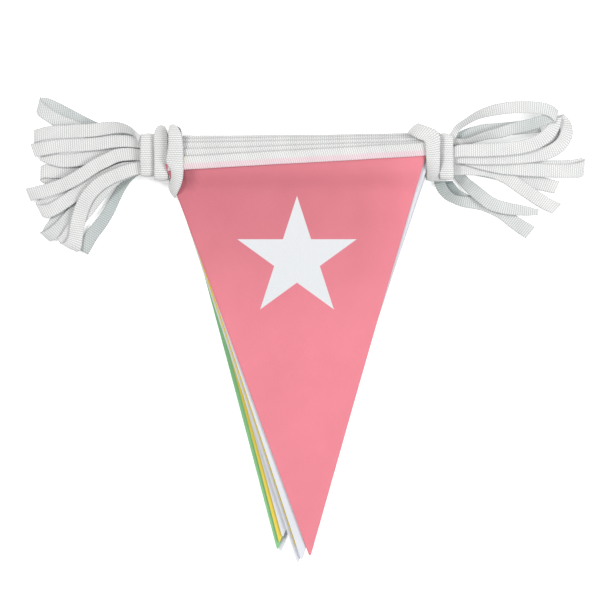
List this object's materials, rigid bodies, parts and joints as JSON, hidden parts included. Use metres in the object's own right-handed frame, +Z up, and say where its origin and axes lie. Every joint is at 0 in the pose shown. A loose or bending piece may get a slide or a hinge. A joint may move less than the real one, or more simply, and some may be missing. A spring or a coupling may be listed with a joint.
{
  "type": "pennant bunting",
  "caption": "Triangular cloth flags folded into one stack on a woven tape, the spare tape in flattened loops tied at each side.",
  "frame": {"origin": "on the surface it lies on, under the middle of the stack of flags", "axes": "+Z up out of the face that shows, +X along the tape to the right, +Y from the flags' tips to the tape"},
  "size_m": [0.4215, 0.3495, 0.0283],
  "materials": {
    "pink_cloth": "smooth printed cloth",
    "white_cloth": "smooth cloth",
    "yellow_cloth": "smooth cloth",
    "green_cloth": "smooth cloth",
    "tape": "woven tape, ribbed across"
  },
  "bodies": {
    "root": {"flag_1": "pink_cloth", "tape_1": "tape", "flag_2": "white_cloth", "tape_2": "tape", "flag_3": "yellow_cloth", "tape_3": "tape", "flag_4": "white_cloth", "tape_4": "tape", "flag_5": "white_cloth", "tape_5": "tape", "flag_6": "white_cloth", "tape_6": "tape", "flag_7": "yellow_cloth", "tape_7": "tape", "flag_8": "green_cloth", "tape_8": "tape", "flag_9": "white_cloth", "tape_9": "tape", "left_loop_1": "tape", "left_loop_2": "tape", "left_loop_3": "tape", "left_loop_4": "tape", "left_loop_5": "tape", "left_loop_6": "tape", "left_loop_7": "tape", "left_loop_8": "tape", "left_loop_9": "tape", "left_loop_10": "tape", "right_loop_1": "tape", "right_loop_2": "tape", "right_loop_3": "tape", "right_loop_4": "tape", "right_loop_5": "tape", "right_loop_6": "tape", "right_loop_7": "tape", "right_loop_8": "tape", "right_loop_9": "tape", "left_tie": "tape", "right_tie": "tape"}
  },
  "joints": []
}
